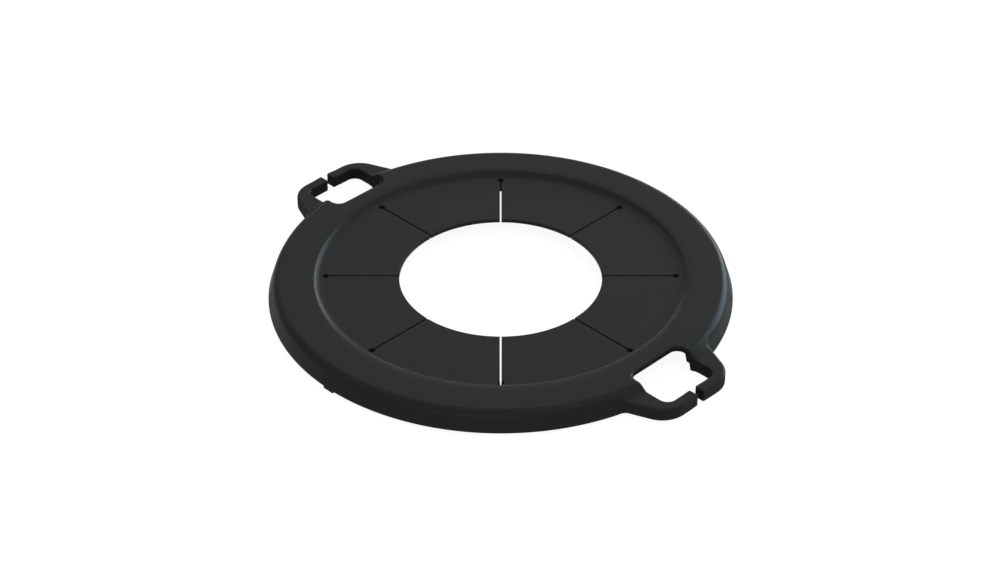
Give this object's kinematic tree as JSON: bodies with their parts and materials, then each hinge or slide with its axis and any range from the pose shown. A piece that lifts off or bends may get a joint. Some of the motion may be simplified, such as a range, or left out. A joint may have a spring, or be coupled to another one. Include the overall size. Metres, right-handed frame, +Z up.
{
  "type": "slit flange collar",
  "caption": "Round black rubber flange collar: a hollow raised rim, a slit membrane whose flaps bend to let a pipe through, and split strap loops at two sides.",
  "frame": {"origin": "on the pipe axis, in the plane that the rib and the feet rest on", "axes": "+Z up along the pipe axis, +X through the right strap loop, -Y through the front foot"},
  "size_m": [0.2, 0.1746, 0.0086],
  "materials": {
    "rim_rubber": "satin black moulded rubber",
    "flap_rubber": "satin black moulded rubber",
    "loop_rubber": "satin black moulded rubber"
  },
  "bodies": {
    "rim": {"rim": "rim_rubber"},
    "flap_1": {"flap_1": "flap_rubber"},
    "flap_2": {"flap_2": "flap_rubber"},
    "flap_3": {"flap_3": "flap_rubber"},
    "flap_4": {"flap_4": "flap_rubber"},
    "flap_5": {"flap_5": "flap_rubber"},
    "flap_6": {"flap_6": "flap_rubber"},
    "flap_7": {"flap_7": "flap_rubber"},
    "flap_8": {"flap_8": "flap_rubber"},
    "right_loop_front_arm": {"right_loop_front_arm": "loop_rubber"},
    "right_loop_rear_arm": {"right_loop_rear_arm": "loop_rubber"},
    "left_loop_front_arm": {"left_loop_front_arm": "loop_rubber"},
    "left_loop_rear_arm": {"left_loop_rear_arm": "loop_rubber"}
  },
  "joints": [
    {"name": "flap_1_bend", "type": "hinge", "parent": "rim", "child": "flap_1", "pos_m": [0.05612, 0.02325, 0.0059], "axis": [-0.3827, 0.9239, 0], "range_deg": [-12, 45], "stiffness_Nm_per_rad": 0.02},
    {"name": "flap_2_bend", "type": "hinge", "parent": "rim", "child": "flap_2", "pos_m": [0.02325, 0.05612, 0.0059], "axis": [-0.9239, 0.3827, 0], "range_deg": [-12, 45], "stiffness_Nm_per_rad": 0.02},
    {"name": "flap_3_bend", "type": "hinge", "parent": "rim", "child": "flap_3", "pos_m": [-0.02325, 0.05612, 0.0059], "axis": [-0.9239, -0.3827, 0], "range_deg": [-12, 45], "stiffness_Nm_per_rad": 0.02},
    {"name": "flap_4_bend", "type": "hinge", "parent": "rim", "child": "flap_4", "pos_m": [-0.05612, 0.02325, 0.0059], "axis": [-0.3827, -0.9239, 0], "range_deg": [-12, 45], "stiffness_Nm_per_rad": 0.02},
    {"name": "flap_5_bend", "type": "hinge", "parent": "rim", "child": "flap_5", "pos_m": [-0.05612, -0.02325, 0.0059], "axis": [0.3827, -0.9239, 0], "range_deg": [-12, 45], "stiffness_Nm_per_rad": 0.02},
    {"name": "flap_6_bend", "type": "hinge", "parent": "rim", "child": "flap_6", "pos_m": [-0.02325, -0.05612, 0.0059], "axis": [0.9239, -0.3827, 0], "range_deg": [-12, 45], "stiffness_Nm_per_rad": 0.02},
    {"name": "flap_7_bend", "type": "hinge", "parent": "rim", "child": "flap_7", "pos_m": [0.02325, -0.05612, 0.0059], "axis": [0.9239, 0.3827, 0], "range_deg": [-12, 45], "stiffness_Nm_per_rad": 0.02},
    {"name": "flap_8_bend", "type": "hinge", "parent": "rim", "child": "flap_8", "pos_m": [0.05612, -0.02325, 0.0059], "axis": [0.3827, 0.9239, 0], "range_deg": [-12, 45], "stiffness_Nm_per_rad": 0.02},
    {"name": "right_loop_front_arm_spread", "type": "hinge", "parent": "rim", "child": "right_loop_front_arm", "pos_m": [0.0923, -0.01614, 0.00355], "axis": [0, 0, -1], "range_deg": [-4, 8], "stiffness_Nm_per_rad": 0.13},
    {"name": "right_loop_rear_arm_spread", "type": "hinge", "parent": "rim", "child": "right_loop_rear_arm", "pos_m": [0.0923, 0.01614, 0.00355], "axis": [0, 0, 1], "range_deg": [-4, 8], "stiffness_Nm_per_rad": 0.13},
    {"name": "left_loop_front_arm_spread", "type": "hinge", "parent": "rim", "child": "left_loop_front_arm", "pos_m": [-0.0923, -0.01614, 0.00355], "axis": [0, 0, 1], "range_deg": [-4, 8], "stiffness_Nm_per_rad": 0.13},
    {"name": "left_loop_rear_arm_spread", "type": "hinge", "parent": "rim", "child": "left_loop_rear_arm", "pos_m": [-0.0923, 0.01614, 0.00355], "axis": [0, 0, -1], "range_deg": [-4, 8], "stiffness_Nm_per_rad": 0.13}
  ]
}
